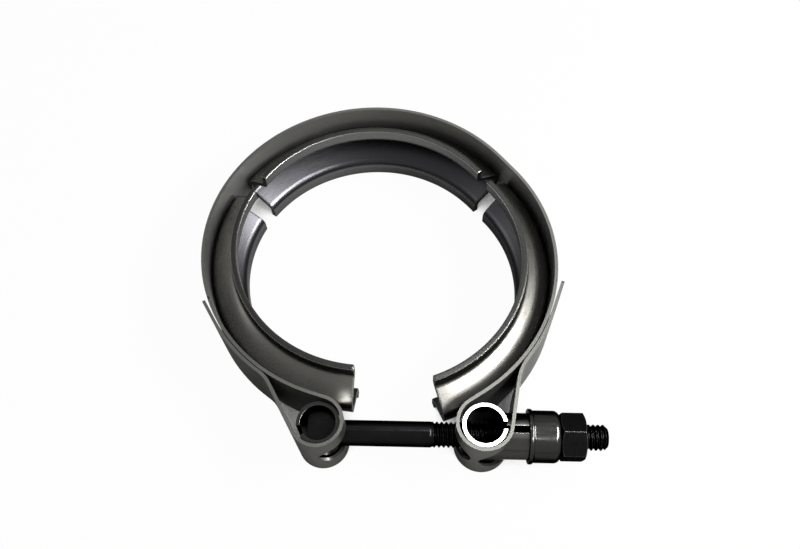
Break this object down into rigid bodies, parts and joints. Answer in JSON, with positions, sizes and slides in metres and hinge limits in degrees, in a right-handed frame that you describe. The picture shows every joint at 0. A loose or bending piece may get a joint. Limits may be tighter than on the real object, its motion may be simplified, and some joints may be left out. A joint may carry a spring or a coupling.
{
  "type": "exhaust clamp",
  "caption": "V-band exhaust clamp: a steel strap lined with V-section segments, its looped ends drawn together by a T-bolt, trunnions, collar and hex nut.",
  "frame": {"origin": "centre of the ring, at half the width of the strap", "axes": "+Z along the ring axis, +X along the bolt towards its nut, the bolt on the -Y side"},
  "size_m": [0.1274, 0.1239, 0.024],
  "materials": {
    "band_strap": "bright rolled stainless strip",
    "v_segment": "pressed stainless channel",
    "trunnion": "rolled stainless tube",
    "bolt": "rolled steel bolt with a darker waxed surface",
    "collar": "deep-drawn steel collar",
    "nut": "turned steel nut"
  },
  "bodies": {
    "clamp": {"band_strap": "band_strap", "v_segment_top": "v_segment", "v_segment_left": "v_segment", "v_segment_right": "v_segment", "bolt_trunnion": "trunnion", "nut_trunnion": "trunnion", "t_bolt": "bolt"},
    "collar": {"collar": "collar"},
    "nut": {"hex_nut": "nut"}
  },
  "joints": [
    {"name": "collar_slide", "type": "slide", "parent": "clamp", "child": "collar", "axis": [1, 0, 0], "range_m": [0, 0.00565]},
    {"name": "nut_spin", "type": "hinge", "parent": "collar", "child": "nut", "pos_m": [0.062, -0.06068, 0], "axis": [1, 0, 0], "range_deg": [0, 1440]}
  ],
  "couplings": [
    {"joint": "collar_slide", "follows": "nut_spin", "m_per_rad": 0.00022441}
  ]
}
